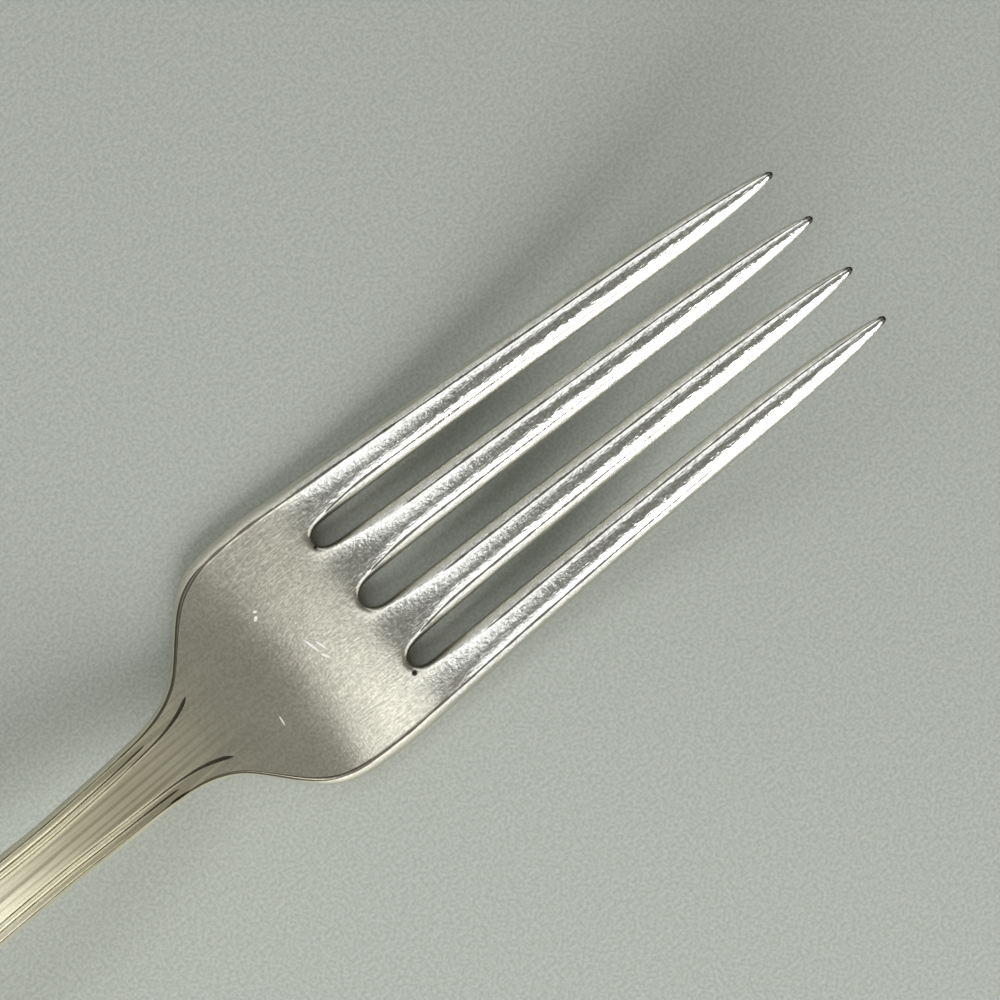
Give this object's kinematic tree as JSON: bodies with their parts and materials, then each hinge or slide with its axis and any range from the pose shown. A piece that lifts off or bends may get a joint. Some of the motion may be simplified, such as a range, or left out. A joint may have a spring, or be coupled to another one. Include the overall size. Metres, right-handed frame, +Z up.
{
  "type": "dinner fork",
  "caption": "Silver table fork with tapering tines, a shallow dished bowl, a narrow neck and a long handle with thread lines along its edges and a rounded end.",
  "frame": {"origin": "on the table, under the middle of the fork's length and width, with the fork lying face up", "axes": "+X along the fork towards the tips of the tines, +Z up from the table"},
  "size_m": [0.2, 0.0248, 0.0158],
  "materials": {
    "silver": "worn hazed silver with fine scratches and dark tarnish in the recesses"
  },
  "bodies": {
    "root": {"tine_1": "silver", "tine_2": "silver", "tine_3": "silver", "tine_4": "silver", "bowl": "silver", "neck": "silver", "stem": "silver", "handle_end": "silver"}
  },
  "joints": []
}
